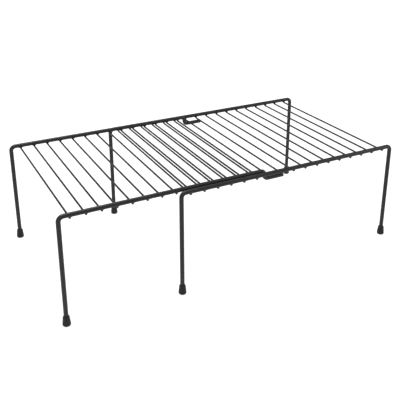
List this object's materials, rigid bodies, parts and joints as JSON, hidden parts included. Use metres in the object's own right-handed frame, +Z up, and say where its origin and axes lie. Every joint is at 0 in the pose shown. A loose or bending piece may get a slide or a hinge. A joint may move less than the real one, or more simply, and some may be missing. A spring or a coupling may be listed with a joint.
{
  "type": "expandable cabinet shelf",
  "caption": "Raised wire shelf for a cupboard, whose narrower section hooks into the wider one to set its width.",
  "frame": {"origin": "centre of the footprint, on the surface that the shelf stands on, at the width it has in the picture", "axes": "+X along the shelf from the extension to the base section, +Y to the back, +Z up"},
  "size_m": [0.5164, 0.27, 0.1543],
  "materials": {
    "coated_wire": "black powder coat, satin",
    "foot_cap": "black, matte"
  },
  "bodies": {
    "base": {"base_front_frame": "coated_wire", "base_back_frame": "coated_wire", "base_cross_wire_01": "coated_wire", "base_cross_wire_02": "coated_wire", "base_cross_wire_03": "coated_wire", "base_cross_wire_04": "coated_wire", "base_cross_wire_05": "coated_wire", "base_cross_wire_06": "coated_wire", "base_cross_wire_07": "coated_wire", "base_cross_wire_08": "coated_wire", "base_cross_wire_09": "coated_wire", "base_cross_wire_10": "coated_wire", "base_cross_wire_11": "coated_wire", "base_cross_wire_12": "coated_wire", "base_cross_wire_13": "coated_wire", "base_cross_wire_14": "coated_wire", "base_cross_wire_15": "coated_wire", "base_cross_wire_16": "coated_wire", "base_cross_wire_17": "coated_wire", "base_front_left_foot_cap": "foot_cap", "base_front_right_foot_cap": "foot_cap", "base_back_left_foot_cap": "foot_cap", "base_back_right_foot_cap": "foot_cap"},
    "extension_seat": {"extension_cross_wire_01": "coated_wire"},
    "extension": {"extension_front_frame": "coated_wire", "extension_back_frame": "coated_wire", "extension_cross_wire_02": "coated_wire", "extension_cross_wire_03": "coated_wire", "extension_cross_wire_04": "coated_wire", "extension_cross_wire_05": "coated_wire", "extension_cross_wire_06": "coated_wire", "extension_cross_wire_07": "coated_wire", "extension_cross_wire_08": "coated_wire", "extension_cross_wire_09": "coated_wire", "extension_cross_wire_10": "coated_wire", "extension_cross_wire_11": "coated_wire", "extension_cross_wire_12": "coated_wire", "extension_cross_wire_13": "coated_wire", "extension_cross_wire_14": "coated_wire", "extension_front_foot_cap": "foot_cap", "extension_back_foot_cap": "foot_cap"}
  },
  "joints": [
    {"name": "extension_slide", "type": "slide", "parent": "base", "child": "extension_seat", "axis": [-1, 0, 0], "range_m": [-0.14, 0.1]},
    {"name": "extension_tilt", "type": "hinge", "parent": "extension_seat", "child": "extension", "pos_m": [0.02175, 0, 0.1467], "axis": [0, 1, 0], "range_deg": [0, 90]}
  ]
}
